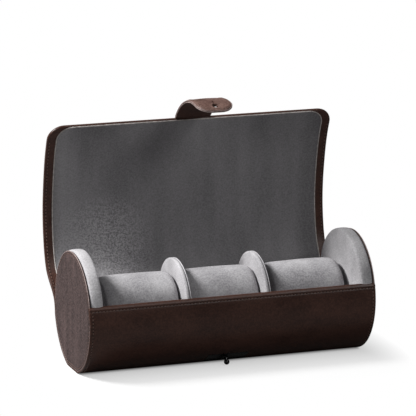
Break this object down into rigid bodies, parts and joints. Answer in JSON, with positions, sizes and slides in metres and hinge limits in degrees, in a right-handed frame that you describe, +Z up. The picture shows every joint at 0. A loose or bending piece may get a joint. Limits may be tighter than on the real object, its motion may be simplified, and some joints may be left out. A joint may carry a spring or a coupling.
{
  "type": "watch travel case",
  "caption": "Leather watch roll with suede end discs, dividers and lift-out pillows, a bending lid hinged at the back, and a tab that buttons on a ball stud.",
  "frame": {"origin": "centre of the flat underside, on the table, straight under the roll's axis", "axes": "+X along the roll to the right as seen from the front, +Y to the back where the lid grows, +Z up"},
  "size_m": [0.236, 0.1206, 0.2017],
  "materials": {
    "leather": "satin",
    "end_leather": "matte",
    "tab_back": "matte",
    "board": "matte",
    "grey_suede": "matte",
    "pale_suede": "matte",
    "dark_suede": "matte",
    "core_wood": "matte",
    "foam": "matte",
    "black_metal": "gloss"
  },
  "bodies": {
    "case": {"body_leather": "leather", "body_board": "board", "body_lining": "grey_suede", "left_end_core": "core_wood", "left_end_suede": "pale_suede", "left_end_leather": "end_leather", "right_end_core": "core_wood", "right_end_suede": "pale_suede", "right_end_leather": "end_leather", "left_divider_board": "board", "left_divider_suede": "pale_suede", "right_divider_board": "board", "right_divider_suede": "pale_suede", "stud_plate": "black_metal", "stud": "black_metal", "stud_nut": "black_metal"},
    "lid_panel_1": {"lid_leather_1": "leather", "lid_board_1": "board", "lid_lining_1": "dark_suede"},
    "lid_panel_2": {"lid_leather_2": "leather", "lid_board_2": "board", "lid_lining_2": "dark_suede"},
    "lid_panel_3": {"lid_leather_3": "leather", "lid_board_3": "board", "lid_lining_3": "dark_suede"},
    "lid_panel_4": {"lid_leather_4": "leather", "lid_board_4": "board", "lid_lining_4": "dark_suede"},
    "lid_panel_5": {"lid_leather_5": "leather", "lid_board_5": "board", "lid_lining_5": "dark_suede"},
    "lid_panel_6": {"lid_leather_6": "leather", "lid_board_6": "board", "lid_lining_6": "dark_suede"},
    "tab": {"tab_fold": "leather", "tab_leather": "leather", "tab_lining": "tab_back"},
    "left_pillow": {"left_pillow_cover": "grey_suede", "left_pillow_foam": "foam"},
    "middle_pillow": {"middle_pillow_cover": "grey_suede", "middle_pillow_foam": "foam"},
    "right_pillow": {"right_pillow_cover": "grey_suede", "right_pillow_foam": "foam"}
  },
  "joints": [
    {"name": "lid_hinge", "type": "hinge", "parent": "case", "child": "lid_panel_1", "pos_m": [0, 0.04724, 0.04093], "axis": [-1, 0, 0], "range_deg": [-42.64, 20]},
    {"name": "lid_bend_2", "type": "hinge", "parent": "lid_panel_1", "child": "lid_panel_2", "pos_m": [0, 0.06196, 0.06119], "axis": [-1, 0, 0], "range_deg": [-13.65, 6.41]},
    {"name": "lid_bend_3", "type": "hinge", "parent": "lid_panel_2", "child": "lid_panel_3", "pos_m": [0, 0.07052, 0.08472], "axis": [-1, 0, 0], "range_deg": [-13.65, 6.41]},
    {"name": "lid_bend_4", "type": "hinge", "parent": "lid_panel_3", "child": "lid_panel_4", "pos_m": [0, 0.07227, 0.10969], "axis": [-1, 0, 0], "range_deg": [-18.65, 8.76]},
    {"name": "lid_bend_5", "type": "hinge", "parent": "lid_panel_4", "child": "lid_panel_5", "pos_m": [0, 0.06921, 0.13454], "axis": [-1, 0, 0], "range_deg": [-22.65, 10.63]},
    {"name": "lid_bend_6", "type": "hinge", "parent": "lid_panel_5", "child": "lid_panel_6", "pos_m": [0, 0.06316, 0.15884], "axis": [-1, 0, 0], "range_deg": [-19.63, 6.3]},
    {"name": "tab_swing", "type": "hinge", "parent": "lid_panel_6", "child": "tab", "pos_m": [0, 0.05116, 0.18185], "axis": [-1, 0, 0], "range_deg": [0, 60]},
    {"name": "left_pillow_lift", "type": "slide", "parent": "case", "child": "left_pillow", "axis": [0, 0, 1], "range_m": [0, 0.09]},
    {"name": "middle_pillow_lift", "type": "slide", "parent": "case", "child": "middle_pillow", "axis": [0, 0, 1], "range_m": [0, 0.09]},
    {"name": "right_pillow_lift", "type": "slide", "parent": "case", "child": "right_pillow", "axis": [0, 0, 1], "range_m": [0, 0.09]}
  ],
  "couplings": [
    {"joint": "lid_bend_2", "follows": "lid_hinge", "ratio": 0.31968},
    {"joint": "lid_bend_3", "follows": "lid_hinge", "ratio": 0.31968},
    {"joint": "lid_bend_4", "follows": "lid_hinge", "ratio": 0.43695},
    {"joint": "lid_bend_5", "follows": "lid_hinge", "ratio": 0.53077}
  ]
}
